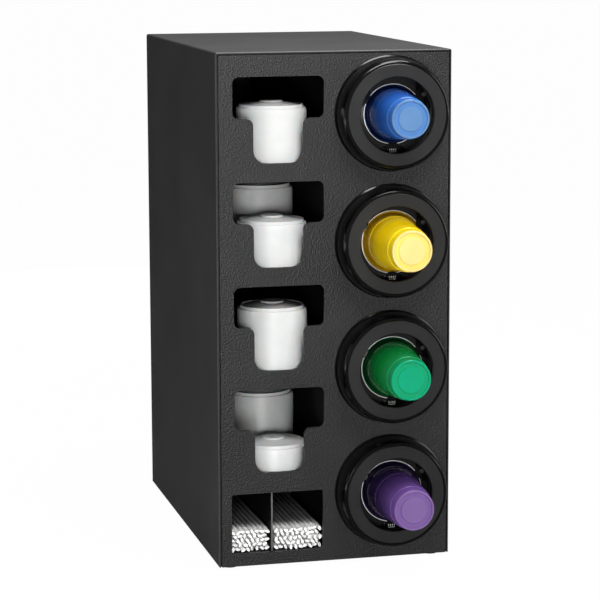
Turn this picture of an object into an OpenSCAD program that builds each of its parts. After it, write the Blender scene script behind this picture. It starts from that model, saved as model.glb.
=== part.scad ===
// Countertop dispenser for cups, lids and straws
// Millimetres. X runs to the right, Y to the back and Z up.
// The origin is on the counter, under the middle of the whole object's box.

/* [Cabinet] */
// Width over the casing
cab_w = 298; // [270:1:360]
// Depth from the face of the front panel to the face of the back panel
cab_d = 470; // [430:1:560]
// Height of the casing above its feet
cab_h = 640; // [620:1:760]
// Wall thickness of the casing
wall = 2; // [1.5:0.25:3]
// Outer radius of the two long edges on top
edge_r = 3; // [1:0.5:4]
// Bevel along the casing's front and back edges
edge_bevel = 1.2; // [0.4:0.1:1.4]
// Thickness of the front panel
front_t = 4; // [3:0.5:6]
// Thickness of the back panel
back_t = 3; // [2:0.5:5]
// Thickness of the base panel
base_t = 4; // [3:0.5:6]
// Thickness of the wall between the lid bay and the cup bay
centre_t = 3; // [2:0.5:5]
// How far the windows and the collars stand from the middle of the cabinet
axis_x = 71; // [68:0.5:73]
// Width of the folded flanges that the front and back panels lie on
flange_w = 9; // [8:0.5:10]
// Thickness of the folded flanges
flange_t = 2; // [1.5:0.25:3]
// Width of the bottom flanges that carry the base panel
sill_w = 34; // [30:1:50]
// Open seam around the front panel
seam = 1.6; // [0.5:0.1:2]
// Open seam around the back panel
back_seam = 0.5; // [0.3:0.1:1.5]
// Fine seam between the sections that hold the lid windows
section_seam = 0.1; // [0.05:0.05:0.3]

/* [Feet and screws] */
// Radius of a rubber foot where it meets the casing
foot_r = 11; // [8:0.5:15]
// Height of a foot
foot_h = 5; // [4:0.5:12]
// How much smaller the foot is at the counter
foot_taper = 1.5; // [0.5:0.5:3]
// Distance of the feet from the sides of the casing
foot_side = 18; // [16:1:24]
// Distance of the feet from the front and the back
foot_end = 24; // [18:1:40]
// Depth of the screw hole in a foot
foot_bore = 3; // [2:0.5:3.5]
// Shank diameter of the screws
screw_d = 3.5; // [2.5:0.5:4]
// Head diameter of the screws
head_d = 6; // [5:0.5:7]
// Head height of the screws
head_h = 2; // [1.5:0.5:2.5]
// Clearance of a screw in its hole
screw_gap = 0.15; // [0.1:0.05:0.3]
// Back panel screws on each side
back_screws = 4; // [3:1:6]

/* [Lid windows] */
// Width of a window's upper part
win_w = 114.5; // [100:0.5:122]
// Height of a window
win_h = 106; // [95:0.5:112]
// Height of the upper part
bar_h = 51; // [40:1:60]
// Width of the lower slot
slot_w = 63; // [50:1:80]
// Distance of the top window from the top of the casing
win_top = 30; // [25:0.5:40]
// Height of panel between the straw opening and the lowest window
win_gap = 25.5; // [14:0.5:30]
// Radius at the corners of the upper part
bar_r = 8; // [4:0.5:12]
// Radius where the upper part turns into the slot
shoulder_r = 8.5; // [4:0.5:12]
// Radius at the bottom of the slot
slot_r = 17; // [8:0.5:22]
// Depth of the shelf below the bottom of its slot
shelf_drop = 4; // [2:0.5:6]
// Thickness of a shelf
shelf_t = 2; // [1.5:0.5:3]
// Height of a shelf's turned-down sides
shelf_turn = 10; // [6:0.5:12]

/* [Lids] */
// Radius of a lid over its skirt
lid_r = 44; // [38:0.5:48]
// Height of a lid's skirt
skirt_h = 6; // [4:0.5:8]
// Height of the rim above the skirt
crown_h = 4; // [3:0.5:5]
// Width of the shoulder between skirt and rim
crown_in = 2.6; // [1.5:0.1:4]
// Width of the rim's flat top
crown_w = 1.6; // [1:0.1:3]
// Depth of the disc below the rim
lid_sink = 1.5; // [1:0.25:4]
// Height that the disc rises from its edge to its middle
dome_h = 4; // [2:0.5:5]
// Width of the flat ring round the raised middle
dome_flat = 3; // [1:0.5:5]
// Radius of the raised middle
boss_r = 15; // [8:0.5:18]
// Height of the raised middle
boss_h = 2.2; // [1:0.1:3]
// Length of the straw slits
slit_l = 12; // [8:0.5:14]
// Width of the straw slits
slit_w = 1; // [0.6:0.1:2]
// Wall thickness of a lid
lid_t = 0.45; // [0.3:0.05:0.5]
// Height that each further lid adds to a stack
lid_pitch = 3.5; // [3.25:0.25:5]
// Slant of the lid's walls, in millimetres out for each millimetre down
lid_slant = 0.17; // [0.16:0.01:0.2]
// Gap between the lids and the panel, and between two stacks
lid_gap = 3; // [1:0.5:8]
// How far a front stack stands to the right of its window's middle
lid_shift = 2.5; // [-6:0.5:6]
// How far a rear stack stands to the right of its window's middle
rear_lid_shift = 6.5; // [-8:0.5:8]
// Lids in each front stack, from the top window down
front_lid_count = [19, 15, 21, 8]; // [3:1:22]
// Lids in each rear stack, from the top window down, with 0 for none
rear_lid_count = [0, 25, 0, 22]; // [0:1:26]

/* [Straws] */
// Width of the straw opening
straw_w = 117; // [100:1:122]
// Height of the straw opening
straw_h = 76; // [60:1:80]
// Height of the opening's lower edge above the casing's bottom
straw_z = 16; // [15:0.5:24]
// Corner radius of the opening
straw_r = 3.5; // [2:0.5:8]
// Wall thickness of the tray and its divider
tray_t = 2; // [1.5:0.5:3]
// Height of the tray's sides above its floor
tray_h = 58; // [40:1:62]
// How far the divider stands left of the tray's middle
divider_left = 6; // [0:0.5:12]
// Gap between the divider and the straws beside it
pile_gap = 1.5; // [0.5:0.25:4]
// Diameter of a wrapped straw
straw_d = 6; // [5:0.25:8]
// Length of a straw
straw_len = 200; // [180:5:220]
// Gap between neighbouring straws
straw_gap = 0.25; // [0.15:0.05:0.5]
// Straws in the lowest row of the left bin
left_straws = 9; // [5:1:9]
// Straws in the lowest row of the right bin
right_straws = 10; // [5:1:11]
// Rows of straws
straw_rows = 5; // [3:1:7]
// How far the straws' ends are out of line
straw_stray = 4; // [0:0.5:6]

/* [Cup collars] */
// Radius of a collar at the panel
collar_r = 71.7; // [66:0.1:73]
// How far the fixed bezel stands out from the panel
bezel_h = 30; // [26:0.5:36]
// Height of the step at the bezel's foot
lip_h = 2.4; // [1.5:0.1:4]
// Width of the step at the bezel's foot
lip_step = 1.6; // [1:0.1:3]
// Thickness of the bezel's front edge
edge_t = 1.6; // [1.2:0.1:2.5]
// Thickness of the bezel's floor
floor_t = 4.7; // [3:0.1:6]
// Distance of the top collar's centre from the top of the casing
collar_top = 78; // [76:0.5:88]
// Distance of the lowest collar's centre from the bottom of the casing
collar_low = 87; // [78:0.5:90]

/* [Size rings and jaws] */
// Outer radius of a size ring's face
ring_r = 62.4; // [60:0.1:63]
// Radius of the hole in a size ring's face
ring_ir = 46.7; // [44:0.1:48]
// Thickness of the face
ring_t = 3; // [2:0.5:4]
// How far the face stands out from the bezel
ring_proud = 1; // [0:0.1:2]
// Bevel on the edges of the face
ring_bevel = 0.8; // [0.4:0.1:1.2]
// Thickness of the ring's skirt
skirt_t = 2; // [1.5:0.1:2.5]
// Thickness of the cam plate
cam_t = 3; // [2:0.5:4]
// Turn of a size ring from closed to open, in degrees
ring_turn = 40; // [20:1:45]
// Way of a jaw over that turn
jaw_lift = 4; // [2:0.25:4.5]
// Inner radius of the closed jaws, from the top collar down
jaw_r = [36.3, 38.6, 38.6, 38.6]; // [34:0.1:40]
// Outer radius of the closed jaws
jaw_or = 57; // [54:0.5:57.5]
// Angle that one jaw covers on the inside, in degrees
jaw_span = 105; // [95:1:110]
// Thickness of a jaw
jaw_t = 4; // [3:0.5:6]
// Bevel on a jaw's inner edge
jaw_bevel = 0.8; // [0.4:0.1:1.2]
// Radius of the circle that the cam pins stand on, jaws closed
pin_at = 52.8; // [51:0.1:54]
// Diameter of a cam pin
pin_d = 3.5; // [2.5:0.25:4]
// Radius of the circle that the guide posts stand on
post_at = 46; // [45:0.5:49]
// Sliding clearance
fit = 0.3; // [0.2:0.05:0.4]
// Running clearance
run = 0.5; // [0.4:0.1:0.8]
// How far the cam plate reaches behind the bezel's rib
catch = 0.6; // [0.3:0.1:0.8]

/* [Cups and their feed] */
// How far the cups reach out from the panel, from the top collar down
cup_reach = [88, 97, 95, 111]; // [70:1:120]
// Outer radius at the cups' bottoms, from the top collar down
cup_r = [23.6, 25.2, 25.1, 25.2]; // [20:0.1:28]
// Wall thickness of a cup
cup_t = 0.5; // [0.3:0.05:0.6]
// How far a cup's rim reaches out past the closed jaws
rim_hold = 1.4; // [0.8:0.1:2]
// Radius of the rolled rim's section
rim_r = 2.5; // [2.3:0.1:2.8]
// Width of the two steps in a cup's wall
cup_step = 0.8; // [0.4:0.1:1]
// Distance of the lower step from the cup's bottom
low_step = 14; // [12:1:20]
// Distance of the upper step from the cup's rim
high_step = 22; // [14:1:30]
// Depth of the groove in a cup's bottom
cup_recess = 1.5; // [1.2:0.1:2.5]
// Distance of the groove's inner edge from the cup's outside
groove_in = 9; // [6:0.5:12]
// Height of the disc inside the groove
disc_rise = 1; // [0.4:0.1:1.2]
// Length that each further cup adds to a stack
cup_pitch = 11; // [10:0.5:16]
// Cups in a stack
cup_count = 10; // [4:1:12]
// Inner radius of a cup tube
tube_r = 41.5; // [41.2:0.1:43]
// Wall thickness of a cup tube
tube_t = 1.5; // [1:0.1:2.5]
// Radius of a tube's mounting flange
tube_flange = 56; // [52:0.5:60]
// Thickness of a tube's end cap and mounting flange
cap_t = 3; // [2:0.5:4]
// Length of the end cap's spigot
cap_spigot = 10; // [6:1:16]
// Thickness of a pusher's plate and of its guide skirt
push_t = 2.5; // [2:0.5:4]
// Length of a pusher's guide skirt
push_skirt = 16; // [10:1:24]
// Radius of a pusher's nose at its foot
nose_r = 24; // [18:0.5:26]
// Length of a pusher's nose
nose_l = 52; // [30:1:60]
// Radius of the nose's tip
nose_tip = 17; // [12:0.5:18]
// Mean radius of a feed spring
coil_r = 34; // [28:0.5:35]
// Wire diameter of a feed spring
wire_d = 2; // [1.6:0.1:2.6]
// Turns of a feed spring
coil_turns = 12; // [8:1:14]

/* [Hidden] */
$fn = 64;
// Number of windows, shelves and cup collars
levels = 4;
// Slack for cuts that run past a face
cut = 1;

// Places of the cabinet, with the cups' reach in front and the screw heads behind in its box
front_y = (max(cup_reach) - cab_d - head_h) / 2;
back_y = front_y + cab_d;
top_z = foot_h + cab_h;
base_top = foot_h + flange_t + base_t;
inner_w = cab_w - 2 * wall;
inner_top = top_z - wall;
inside_y = front_y + front_t + flange_t;
inside_end = back_y - back_t - flange_t;
inside_d = inside_end - inside_y;
bay_w = (inner_w - centre_t) / 2;
bay_x = -(bay_w + centre_t) / 2;
hole_d = screw_d + 2 * screw_gap;

// Places of the windows, counted from the top one down
straw_top = foot_h + straw_z + straw_h;
slot_low = straw_top + win_gap;
win_pitch = (top_z - win_top - win_h - slot_low) / (levels - 1);
function slot_bottom(k) = slot_low + (levels - k) * win_pitch;
function shelf_z(k) = slot_bottom(k) - shelf_drop;

// Edges of the front's sections, which meet in the middle, above the straws and between the windows
panel_w = inner_w / 2 - seam;
panel_top = inner_top - seam;
panel_split = straw_top + win_gap / 2;
function section_low(k) = k == levels ? panel_split : slot_bottom(k) - (win_pitch - win_h) / 2;
function section_top(k) = k == 1 ? panel_top : section_low(k - 1) - section_seam;

// Places along a collar's axis, from the panel's face outward
collar_pitch = (cab_h - collar_top - collar_low) / (levels - 1);
function collar_z(k) = foot_h + collar_low + (levels - k) * collar_pitch;
jaw_z = floor_t + fit;
jaw_front = jaw_z + jaw_t;
cam_z = jaw_front + fit;
cam_front = cam_z + cam_t;
rib_z = cam_front + run;
ring_front = bezel_h + ring_proud;
ring_back = ring_front - ring_t;
rib_front = ring_back - run;

// Radii of a collar
mouth_r = ring_r + run;
skirt_or = mouth_r - fit - catch - run;
skirt_ir = skirt_or - skirt_t;
rib_r = skirt_or + fit;
cam_or = rib_r + catch;
cam_ir = pin_at - pin_d / 2 - fit - skirt_t;
cavity_r = cam_or + run;
bezel_side_r = collar_r - lip_step;
bezel_edge_r = mouth_r + edge_t;
post_angles = [30, 150, 270];
jaw_angles = [90, 330, 210];
function jaw_w(k) = 2 * jaw_r[k - 1] * sin(jaw_span / 2);
function post_r(k) = post_at * sin(60) - jaw_w(k) / 2 - fit;
slot_over = (pin_d / 2 + run) / pin_at * 180 / PI;

// Sizes of the cups and of what feeds them
rim_front = jaw_z - fit;
rim_z = rim_front - 2 * rim_r;
function cup_h(k) = cup_reach[k - 1] - rim_z;
function rim_or(k) = jaw_r[k - 1] + rim_hold;
function wall_r(k) = rim_or(k) - 2 * rim_r + cup_t;
function cup_slope(k) = (wall_r(k) - cup_r[k - 1] - 2 * cup_step) / cup_h(k);
push_z = rim_z - (cup_count - 1) * cup_pitch - fit;
push_back = push_z - push_t;
tube_end = -(cab_d - back_t - cap_t);

// Sizes of the lid and straw bays
lid_y = front_y + front_t + lid_gap + lid_r;
rear_lid_y = lid_y + 2 * lid_r + lid_gap;
tray_z = foot_h + straw_z - tray_t;
tray_d = straw_len + 2 * straw_stray + 3 * tray_t;
divider_x = bay_x - divider_left;
straw_step = straw_d + straw_gap;
right_pile_x = divider_x + tray_t / 2 + pile_gap;
left_pile_x = divider_x - tray_t / 2 - pile_gap - left_straws * straw_step;

// A plate that stands across the cabinet, from y towards the back, drawn in X and Z
module upright(y, t) {
  translate([0, y + t, 0])
    rotate([90, 0, 0])
      linear_extrude(t)
        children();
}

// The frame of collar k, with z pointing out of the panel and y up
module at_collar(k) {
  translate([axis_x, front_y, collar_z(k)])
    rotate([90, 0, 0])
      children();
}

// A rectangle standing on the X axis, with its own radius at the top and at the bottom
module round_rect(w, h, r_top, r_low) {
  for (s = [-1, 1]) {
    translate([s * (w / 2 - r_top), h - r_top])
      circle(r_top);
    translate([s * (w / 2 - r_low), r_low])
      circle(r_low);
  }
  translate([-w / 2, r_low])
    square([w, h - r_top - r_low]);
  translate([-w / 2 + r_top, h / 2])
    square([w - 2 * r_top, h / 2]);
  translate([-w / 2 + r_low, 0])
    square([w - 2 * r_low, h / 2]);
}

// The quarter between a slot's side and the shoulder above it
module shoulder_fillet() {
  difference() {
    translate([-cut, -shoulder_r])
      square([shoulder_r + cut, shoulder_r + cut]);
    translate([shoulder_r, -shoulder_r])
      circle(shoulder_r);
    translate([shoulder_r, -shoulder_r])
      square([cut, shoulder_r]);
  }
}

// The T-shaped outline of a lid window, standing on the X axis
module window_outline() {
  translate([0, win_h - bar_h])
    round_rect(win_w, bar_h, bar_r, bar_r);
  round_rect(slot_w, win_h - bar_h / 2, shoulder_r, slot_r);
  for (s = [0, 1])
    mirror([s, 0])
      translate([slot_w / 2, win_h - bar_h])
        shoulder_fillet();
}

// A pan-head screw that points down, with the underside of its head at the origin
module screw(length) {
  cylinder(d = head_d, h = head_h);
  translate([0, 0, -length])
    cylinder(d = screw_d, h = length + head_h / 2);
}

// The places of the feet
module at_feet() {
  for (x = [-1, 1] * (cab_w / 2 - foot_side))
    for (y = [front_y + foot_end, back_y - foot_end])
      translate([x, y, 0])
        children();
}

// The places of the back panel's screws, in X and Z
module at_back_screws() {
  low = base_top + flange_w;
  high = inner_top - 2 * flange_w;
  for (x = [-1, 1] * (inner_w - flange_w) / 2)
    for (j = [0:back_screws - 1])
      translate([x, low + (high - low) * j / (back_screws - 1)])
        children();
}

module casing() {
  color("#1b1b1d") difference() {
    union() {
      upright(front_y, cab_d)
        difference() {
          translate([0, foot_h])
            round_rect(cab_w, cab_h, edge_r, edge_r / 4);
          translate([-inner_w / 2, foot_h + flange_t])
            square([inner_w, cab_h - wall - flange_t]);
          translate([-inner_w / 2 + sill_w, foot_h - cut])
            square([inner_w - 2 * sill_w, flange_t + 2 * cut]);
        }
      for (y = [front_y + front_t, inside_end])
        upright(y, flange_t)
          difference() {
            translate([-inner_w / 2 - wall / 2, base_top])
              square([inner_w + wall, inner_top - base_top + wall / 2]);
            translate([-inner_w / 2 + flange_w, base_top - cut])
              square([inner_w - 2 * flange_w, inner_top - flange_w - base_top + cut]);
          }
    }
    for (y = [front_y - cut, inside_end + flange_t])
      upright(y, y < 0 ? front_t + cut : back_t + cut)
        translate([-inner_w / 2, foot_h - cut])
          square([inner_w, flange_t + base_t + cut]);
    for (y = [front_y, back_y]) {
      translate([0, y, top_z])
        rotate([45, 0, 0])
          cube([cab_w + cut, edge_bevel * sqrt(2), edge_bevel * sqrt(2)], center = true);
      for (x = [-1, 1] * cab_w / 2)
        translate([x, y, foot_h + cab_h / 2])
          rotate([0, 0, 45])
            cube([edge_bevel * sqrt(2), edge_bevel * sqrt(2), cab_h + cut], center = true);
    }
    at_feet()
      cylinder(d = hole_d, h = base_top);
    upright(inside_end - cut, flange_t + 2 * cut)
      at_back_screws()
        circle(d = hole_d);
  }
}

// The right section of the front, with the cup collars on it
module front_panel() {
  color("#222224") upright(front_y, front_t)
    difference() {
      translate([0, foot_h])
        square([panel_w, panel_top - foot_h]);
      for (k = [1:levels])
        translate([axis_x, collar_z(k)]) {
          circle(tube_r);
          for (a = post_angles)
            rotate(a)
              translate([post_at, 0])
                circle(d = hole_d);
        }
    }
}

// The left sections of the front, one round each lid window
module lid_panel() {
  color("#222224")
    for (k = [1:levels])
      upright(front_y, front_t)
        difference() {
          translate([-panel_w, section_low(k)])
            square([panel_w, section_top(k) - section_low(k)]);
          translate([-axis_x, slot_bottom(k)])
            window_outline();
        }
}

// The low left section of the front, with the straw opening in it
module straw_panel() {
  color("#222224") upright(front_y, front_t)
    difference() {
      translate([-panel_w, foot_h])
        square([panel_w, panel_split - foot_h]);
      translate([bay_x, foot_h + straw_z])
        round_rect(straw_w, straw_h, straw_r, straw_r);
    }
}

module back_panel() {
  color("#222224") upright(back_y - back_t, back_t)
    difference() {
      translate([-inner_w / 2 + back_seam, foot_h])
        square([inner_w - 2 * back_seam, inner_top - back_seam - foot_h]);
      at_back_screws()
        circle(d = hole_d);
    }
}

module base_panel() {
  color("#1d1d1f") difference() {
    translate([-inner_w / 2, front_y + front_t, foot_h + flange_t])
      cube([inner_w, cab_d - front_t - back_t, base_t]);
    at_feet()
      cylinder(d = hole_d, h = base_top + cut);
  }
}

module centre_wall() {
  color("#1d1d1f")
    translate([-centre_t / 2, inside_y, base_top])
      cube([centre_t, inside_d, inner_top - base_top]);
}

module lid_shelves() {
  color("#202022") for (k = [1:levels])
    upright(inside_y, inside_d)
      translate([bay_x - bay_w / 2, shelf_z(k) - shelf_turn])
        difference() {
          square([bay_w, shelf_turn]);
          translate([shelf_t, -cut])
            square([bay_w - 2 * shelf_t, shelf_turn - shelf_t + cut]);
        }
}

module straw_tray() {
  side = tray_z + tray_t + tray_h - base_top;
  tray_w = bay_w - 2 * fit;
  color("#262628") translate([bay_x, inside_y, base_top]) difference() {
    translate([-tray_w / 2, 0, 0])
      cube([tray_w, tray_d, side]);
    translate([-tray_w / 2 + tray_t, -cut, tray_z + tray_t - base_top])
      cube([tray_w - 2 * tray_t, tray_d - tray_t + cut, side]);
    translate([-tray_w / 2 + tray_t, -cut, -cut])
      cube([tray_w - 2 * tray_t, tray_d - tray_t + cut, tray_z - base_top + cut]);
  }
}

module straw_divider() {
  color("#3a3a3c")
    translate([divider_x - tray_t / 2, inside_y, tray_z + tray_t])
      cube([tray_t, tray_d - tray_t, shelf_z(levels) - shelf_t - tray_z - tray_t]);
}

module feet() {
  color("#141414") at_feet() difference() {
    cylinder(r1 = foot_r - foot_taper, r2 = foot_r, h = foot_h);
    translate([0, 0, foot_h - foot_bore])
      cylinder(d = hole_d, h = foot_bore + cut);
  }
}

module foot_screws() {
  color("silver") at_feet()
    translate([0, 0, base_top])
      screw(base_t + flange_t + foot_bore - screw_gap);
}

module back_panel_screws() {
  color("silver") translate([0, back_y, 0])
    rotate([90, 0, 0])
      at_back_screws()
        rotate([180, 0, 0])
          screw(back_t + 2 * flange_t);
}

module bezel_screws() {
  color("silver") for (k = [1:levels])
    at_collar(k)
      for (a = post_angles)
        rotate(a)
          translate([post_at, 0, jaw_front - head_h - screw_gap])
            screw(jaw_front - head_h + front_t + cap_t);
}

module bezel(k) {
  arc_z = lip_h + lip_step / 2;
  side_arc = [for (t = [0:10:90])
    [bezel_edge_r + (bezel_side_r - bezel_edge_r) * cos(t), arc_z + (bezel_h - arc_z) * sin(t)]];
  color("#0c0c0d") at_collar(k) difference() {
    union() {
      rotate_extrude()
        polygon(concat(
          [[tube_r, 0], [collar_r, 0], [collar_r, lip_h]],
          side_arc,
          [[mouth_r, bezel_h], [mouth_r, rib_front], [rib_r, rib_front], [rib_r, rib_z],
           [cavity_r, rib_z], [cavity_r, floor_t], [tube_r, floor_t]]
        ));
      for (a = post_angles)
        rotate(a)
          translate([post_at, 0, floor_t / 2])
            difference() {
              cylinder(r = post_r(k), h = jaw_front - floor_t / 2);
              translate([-post_at, 0, -cut])
                cylinder(r = tube_r + fit, h = jaw_z - floor_t / 2 + cut);
            }
    }
    for (a = post_angles)
      rotate(a)
        translate([post_at, 0, 0]) {
          translate([0, 0, -cut])
            cylinder(d = hole_d, h = jaw_front + 2 * cut);
          translate([0, 0, jaw_front - head_h - screw_gap])
            cylinder(d = head_d + 2 * screw_gap, h = head_h + cut);
        }
  }
}

// One cam slot, from the closed end to the open one
module cam_slot() {
  half = pin_d / 2 + fit;
  steps = [for (j = [0:10]) -slot_over + (ring_turn + 2 * slot_over) * j / 10];
  function along(t) = pin_at + jaw_lift * t / ring_turn;
  function at(r, t) = [r * cos(-t), r * sin(-t)];
  polygon(concat(
    [for (t = steps) at(along(t) + half, t)],
    [for (j = [10:-1:0]) at(along(steps[j]) - half, steps[j])]
  ));
}

module size_ring(k) {
  color("#2e2e30") at_collar(k) difference() {
    rotate_extrude()
      polygon([
        [ring_ir, ring_front - ring_bevel], [ring_ir + ring_bevel, ring_front],
        [ring_r - ring_bevel, ring_front], [ring_r, ring_front - ring_bevel],
        [ring_r, ring_back], [skirt_or, ring_back], [skirt_or, cam_front],
        [cam_or, cam_front], [cam_or, cam_z], [cam_ir, cam_z], [cam_ir, cam_front],
        [skirt_ir, cam_front], [skirt_ir, ring_back], [ring_ir, ring_back]
      ]);
    for (a = jaw_angles)
      rotate(a)
        translate([0, 0, cam_z - cut])
          linear_extrude(cam_t + 2 * cut)
            cam_slot();
  }
}

module jaw(k, side) {
  r = jaw_r[k - 1];
  w = jaw_w(k);
  color("#101011") at_collar(k) rotate(jaw_angles[side]) {
    intersection() {
      rotate_extrude()
        polygon([
          [r, jaw_z], [jaw_or, jaw_z], [jaw_or, jaw_front],
          [r + jaw_bevel, jaw_front], [r, jaw_front - jaw_bevel]
        ]);
      translate([0, -w / 2, 0])
        cube([jaw_or + cut, w, jaw_front + cut]);
    }
    translate([pin_at, 0, jaw_z + jaw_t / 2])
      cylinder(d = pin_d, h = jaw_t / 2 + cam_t);
  }
}

module cup_tube(k) {
  color("#2a2a2c") at_collar(k) difference() {
    rotate_extrude()
      polygon([
        [tube_r, -front_t], [tube_flange, -front_t], [tube_flange, -front_t - cap_t],
        [tube_r + tube_t, -front_t - cap_t], [tube_r + tube_t, tube_end], [tube_r, tube_end]
      ]);
    for (a = post_angles)
      rotate(a)
        translate([post_at, 0, -front_t - cap_t - cut])
          cylinder(d = hole_d, h = cap_t + 2 * cut);
  }
}

module tube_caps() {
  color("#303032") for (k = [1:levels])
    at_collar(k)
      rotate_extrude()
        polygon([
          [0, tube_end - cap_t], [tube_r + 2 * tube_t, tube_end - cap_t],
          [tube_r + 2 * tube_t, tube_end], [tube_r - screw_gap, tube_end],
          [tube_r - screw_gap, tube_end + cap_spigot],
          [tube_r - screw_gap - tube_t, tube_end + cap_spigot],
          [tube_r - screw_gap - tube_t, tube_end], [0, tube_end]
        ]);
}

module pusher(k) {
  r = tube_r - run;
  color("#d8d8d4") at_collar(k)
    rotate_extrude()
      polygon([
        [0, push_z + nose_l], [nose_tip, push_z + nose_l], [nose_r, push_z], [r, push_z],
        [r, push_back - push_skirt], [r - push_t, push_back - push_skirt],
        [r - push_t, push_back], [nose_r - push_t, push_back],
        [nose_tip - push_t, push_z + nose_l - push_t], [0, push_z + nose_l - push_t]
      ]);
}

// Centre line of a feed spring: straight for one wire diameter at each end, and coiled between
coil_rings = 8 * coil_turns;
coil_low = tube_end + wire_d;
coil_high = push_back - wire_d;
function coil_angle(j) = 360 * min(max(j - 1, 0), coil_rings) / coil_rings * coil_turns;
function coil_z(j) =
  j == 0 ? tube_end :
  j == coil_rings + 2 ? push_back :
  coil_low + (coil_high - coil_low) * (j - 1) / coil_rings;
function coil_at(j) = [coil_r * cos(coil_angle(j)), coil_r * sin(coil_angle(j)), coil_z(j)];
coil = [for (j = [0:coil_rings + 2]) coil_at(j)];
coil_gap = min([for (j = [1:coil_rings - 7]) norm(coil[j] - coil[j + 8])]) - wire_d;
echo(least_gap_between_turns = coil_gap);

// A ring of six points round the wire at step j
function wire_ring(j) =
  let (
    last = len(coil) - 1,
    way = coil[min(j + 1, last)] - coil[max(j - 1, 0)],
    out = [cos(coil_angle(j)), sin(coil_angle(j)), 0],
    side = cross(way / norm(way), out)
  )
  [for (i = [0:5]) coil[j] + wire_d / 2 * (out * cos(60 * i) + side / norm(side) * sin(60 * i))];

module feed_spring(k) {
  last = len(coil) - 1;
  points = [for (j = [0:last]) each wire_ring(j)];
  sides = [for (j = [0:last - 1]) for (i = [0:5])
    let (a = 6 * j + i, b = 6 * j + (i + 1) % 6) each [[a, b, b + 6], [a, b + 6, a + 6]]];
  low_end = [for (i = [1:4]) [0, i + 1, i]];
  high_end = [for (i = [1:4]) [6 * last, 6 * last + i, 6 * last + i + 1]];
  color("#b9bcc0") at_collar(k)
    polyhedron(points, concat(sides, low_end, high_end));
}

// Half section of one cup of stack k, with its bottom at the far end of z
module cup_section(k) {
  r = cup_r[k - 1];
  s = cup_slope(k);
  h1 = low_step;
  h2 = cup_h(k) - high_step;
  outer = [
    [r - cup_step, 0], [r, cup_step], [r + s * h1, h1],
    [r + s * h1 + cup_step, h1 + cup_step], [r + s * h2 + cup_step, h2],
    [r + s * h2 + 2 * cup_step, h2 + cup_step], [wall_r(k), cup_h(k)]
  ];
  deep = cup_recess + cup_t;
  floor_in = 4 * cup_step;
  inner = [for (j = [len(outer) - 1:-1:2]) outer[j] - [cup_t, 0]];
  translate([0, cup_reach[k - 1]])
    mirror([0, 1]) {
      polygon(concat(
        [[0, cup_recess - disc_rise], [r - groove_in, cup_recess - disc_rise],
         [r - groove_in + cup_step, cup_recess], [r - floor_in, cup_recess],
         [r - floor_in + cup_step, 0]],
        outer,
        inner,
        [[r - cup_t + s * deep, deep], [r - groove_in + cup_step, deep],
         [r - groove_in, deep - disc_rise], [0, deep - disc_rise]]
      ));
      translate([rim_or(k) - rim_r, cup_h(k) - rim_r])
        circle(rim_r);
    }
}

module cup_stack(k, tint) {
  color(tint, 0.85) at_collar(k)
    for (j = [0:cup_count - 1])
      translate([0, 0, -j * cup_pitch])
        rotate_extrude()
          cup_section(k);
}

// Half section of a lid: skirt, shoulder, rim, and a disc that rises to the raised middle
module lid_section() {
  skirt_r = lid_r - lid_slant * skirt_h;
  crown_r = skirt_r - crown_in;
  crown_top = crown_r - lid_slant * crown_h;
  lid_h = skirt_h + crown_h;
  disc_z = lid_h - lid_sink;
  disc_r = crown_top - crown_w - lid_sink / 2;
  dome_r = boss_r + dome_flat;
  dome_z = disc_z + dome_h;
  boss_top = boss_r - boss_h / 2;
  outer = [
    [lid_r, 0], [skirt_r, skirt_h], [crown_r, skirt_h], [crown_top, lid_h],
    [crown_top - crown_w, lid_h], [disc_r, disc_z], [dome_r, dome_z], [boss_r, dome_z],
    [boss_top, dome_z + boss_h], [0, dome_z + boss_h]
  ];
  inner = [
    [0, dome_z + boss_h - lid_t], [boss_top - lid_t / 2, dome_z + boss_h - lid_t],
    [boss_r - lid_t / 2, dome_z - lid_t], [dome_r, dome_z - lid_t], [disc_r + lid_t / 2, disc_z - lid_t],
    [crown_top - crown_w + lid_t / 2, lid_h - lid_t], [crown_top - lid_t, lid_h - lid_t],
    [crown_r - lid_t, skirt_h - lid_t], [skirt_r - lid_t, skirt_h - lid_t], [lid_r - lid_t, 0]
  ];
  polygon(concat(outer, inner));
}

// A stack of nested lids on shelf k, with the straw slit cut through them all
module lid_stack(k, shift, y, count) {
  stack_h = skirt_h + crown_h + dome_h + boss_h + (count - 1) * lid_pitch;
  color("#f4f4f2") translate([shift - axis_x, y, shelf_z(k)]) difference() {
    for (j = [0:count - 1])
      translate([0, 0, j * lid_pitch])
        rotate_extrude()
          lid_section();
    for (a = [45, 135])
      rotate(a)
        translate([-slit_l / 2, -slit_w / 2, -cut])
          cube([slit_l, slit_w, stack_h + 2 * cut]);
  }
}

// Straws piled in rows from x to the right, each row in the hollows of the one below
module straws(x, count, seed) {
  stray = rands(-straw_stray, straw_stray, count * straw_rows, seed);
  color("#f6f6f4") for (row = [0:straw_rows - 1])
    for (j = [0:count - 1 - row % 2])
      translate([
        x + straw_d / 2 + (j + row % 2 / 2) * straw_step,
        front_y + front_t + straw_stray + stray[row * count + j],
        tray_z + tray_t + straw_gap + straw_d / 2 + row * straw_step * sin(60)
      ])
        rotate([-90, 0, 0])
          cylinder(d = straw_d, h = straw_len);
}

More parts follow.
